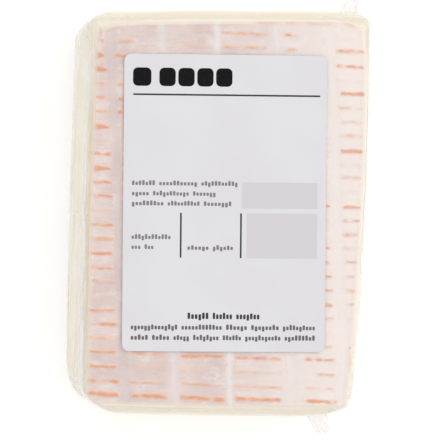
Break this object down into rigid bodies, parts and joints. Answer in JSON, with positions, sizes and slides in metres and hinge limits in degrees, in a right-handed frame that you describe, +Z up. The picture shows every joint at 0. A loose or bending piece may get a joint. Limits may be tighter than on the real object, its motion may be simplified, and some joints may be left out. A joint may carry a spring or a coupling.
{
  "type": "film-wrapped block of washed-rind cheese",
  "caption": "Cut rectangular block of soft washed-rind cheese with mat-pressed rind and swollen cut sides, in clear film with a blank-style paper price label.",
  "frame": {"origin": "under the middle of the pack's bounding box, on the surface that it lies on", "axes": "+Z up out of the labelled rind face; +Y along the length, towards the head of the label; +X across the width, to the right of the label"},
  "size_m": [0.0775, 0.1128, 0.0362],
  "materials": {
    "clear_film": "tight clear stretch film over cream cheese, glossy, with small pleats",
    "label_paper": "satin white paper label",
    "cheese_paste": "soft cream-yellow paste, cut face",
    "washed_rind": "pinkish white bloom with orange ridges pressed by the ripening mat",
    "label_ink": "flat dark print on the label",
    "label_grey": "pale grey printed field on the label"
  },
  "bodies": {
    "root": {"wrapped_cheese": "clear_film", "price_label": "label_paper"}
  },
  "joints": []
}
